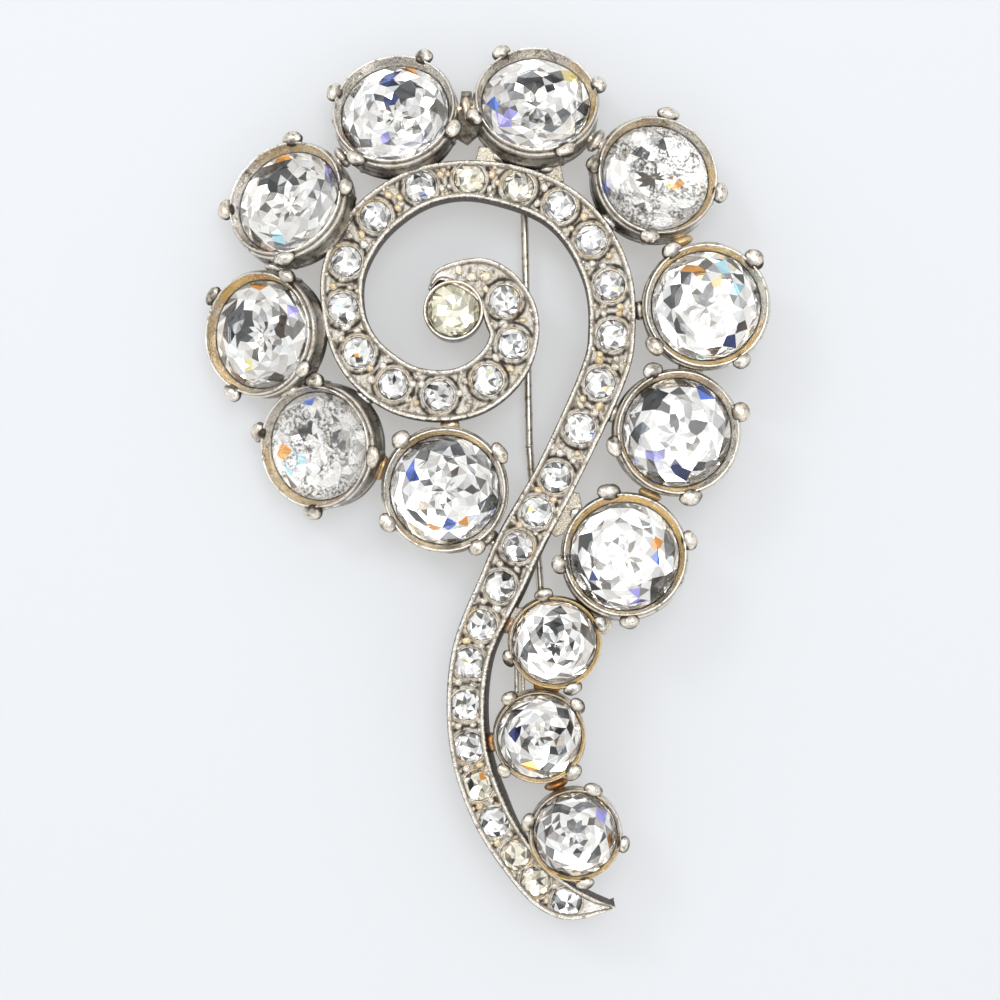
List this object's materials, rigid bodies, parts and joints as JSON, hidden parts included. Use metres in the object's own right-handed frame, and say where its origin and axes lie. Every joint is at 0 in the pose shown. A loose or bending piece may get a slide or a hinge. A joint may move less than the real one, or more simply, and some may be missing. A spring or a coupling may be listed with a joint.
{
  "type": "fur clip",
  "caption": "Question-mark swirl fur clip: round cut glass stones in pronged cups, small stones along the band, and a hinged pin stem with a catch behind.",
  "frame": {"origin": "middle of the bounding box, on the table that the clip lies on", "axes": "+Y towards the head of the swirl, +Z from the back towards the stones, +X to the right seen from the front"},
  "size_m": [0.0568, 0.0879, 0.0098],
  "materials": {
    "plated_metal": "cast metal with worn silver-grey plating, tarnished in the recesses",
    "rivet_metal": "plain rivet",
    "pin_metal": "drawn wire, lightly polished",
    "clear_glass": "cut clear glass with a foiled back",
    "small_glass": "cut clear glass with a foiled back",
    "yellow_glass": "cut pale yellow glass with a foiled back"
  },
  "bodies": {
    "clip": {"setting": "plated_metal", "hinge_rivet": "rivet_metal", "centre_stone": "yellow_glass", "pave_swirl": "small_glass", "pave_tail": "small_glass", "stone_01": "clear_glass", "stone_02": "clear_glass", "stone_03": "clear_glass", "stone_04": "clear_glass", "stone_05": "clear_glass", "stone_06": "clear_glass", "stone_07": "clear_glass", "stone_08": "clear_glass", "stone_09": "clear_glass", "stone_10": "clear_glass", "stone_11": "clear_glass", "stone_12": "clear_glass", "stone_13": "clear_glass"},
    "pin": {"pin_stem": "pin_metal"}
  },
  "joints": [
    {"name": "pin_hinge", "type": "hinge", "parent": "clip", "child": "pin", "pos_m": [0.00401, 0.0287, 0.0015], "axis": [1, 0, 0], "range_deg": [0, 70]}
  ]
}
